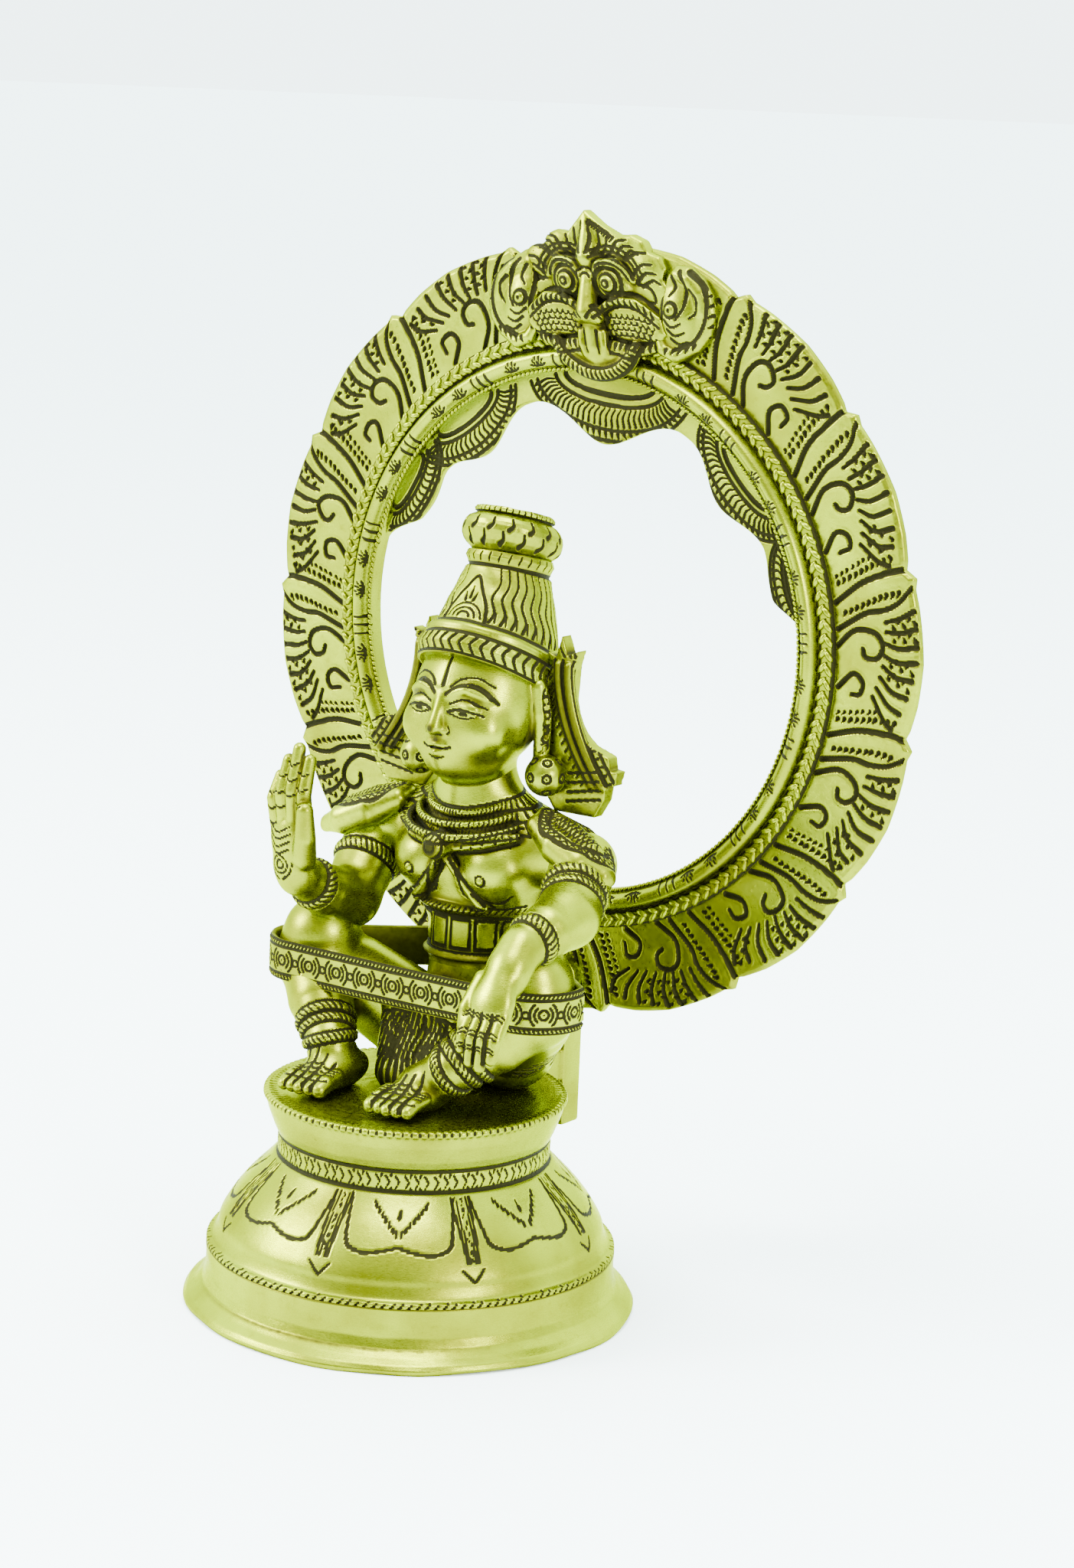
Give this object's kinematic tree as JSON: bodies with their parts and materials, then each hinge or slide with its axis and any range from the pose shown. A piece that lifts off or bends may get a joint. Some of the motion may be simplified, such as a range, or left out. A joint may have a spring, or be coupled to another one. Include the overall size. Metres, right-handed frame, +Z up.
{
  "type": "seated brass deity statue",
  "caption": "Cast brass figure seated on a lotus pedestal with a yoga strap round its knees, and a round flame halo that lifts out of a socket behind the seat.",
  "frame": {"origin": "centre of the foot ring, on the surface it stands on", "axes": "+Z up, figure faces -Y, figure's left side at +X, flame ring behind it at +Y"},
  "size_m": [0.218, 0.134, 0.2966],
  "materials": {
    "polished_brass": "polished by hand over fine filing",
    "chased_brass": "chased and darkened in the lines, polished on the high points"
  },
  "bodies": {
    "statue": {"lotus_bell": "polished_brass", "seat_drum": "polished_brass", "hips": "polished_brass", "torso": "polished_brass", "necklace": "chased_brass", "head": "polished_brass", "crown": "chased_brass", "topknot": "chased_brass", "hair_cap": "chased_brass", "right_ear_ball": "chased_brass", "left_ear_ball": "chased_brass", "right_ribbon": "chased_brass", "left_ribbon": "chased_brass", "right_epaulette": "chased_brass", "left_epaulette": "chased_brass", "right_arm": "polished_brass", "left_arm": "polished_brass", "right_hand": "polished_brass", "left_hand": "polished_brass", "right_leg": "polished_brass", "left_leg": "polished_brass", "right_foot": "polished_brass", "left_foot": "polished_brass", "lap_cloth": "chased_brass", "yoga_strap": "chased_brass", "ring_socket": "polished_brass"},
    "flame_ring": {"ring_band": "chased_brass", "leaf_flange": "chased_brass", "cusped_lobes": "chased_brass", "lion_mask": "chased_brass", "right_makara": "chased_brass", "left_makara": "chased_brass", "tongue_plate": "chased_brass", "tongue_rivets": "polished_brass"}
  },
  "joints": [
    {"name": "ring_lift", "type": "slide", "parent": "statue", "child": "flame_ring", "axis": [0, 0, 1], "range_m": [0, 0.034]}
  ]
}
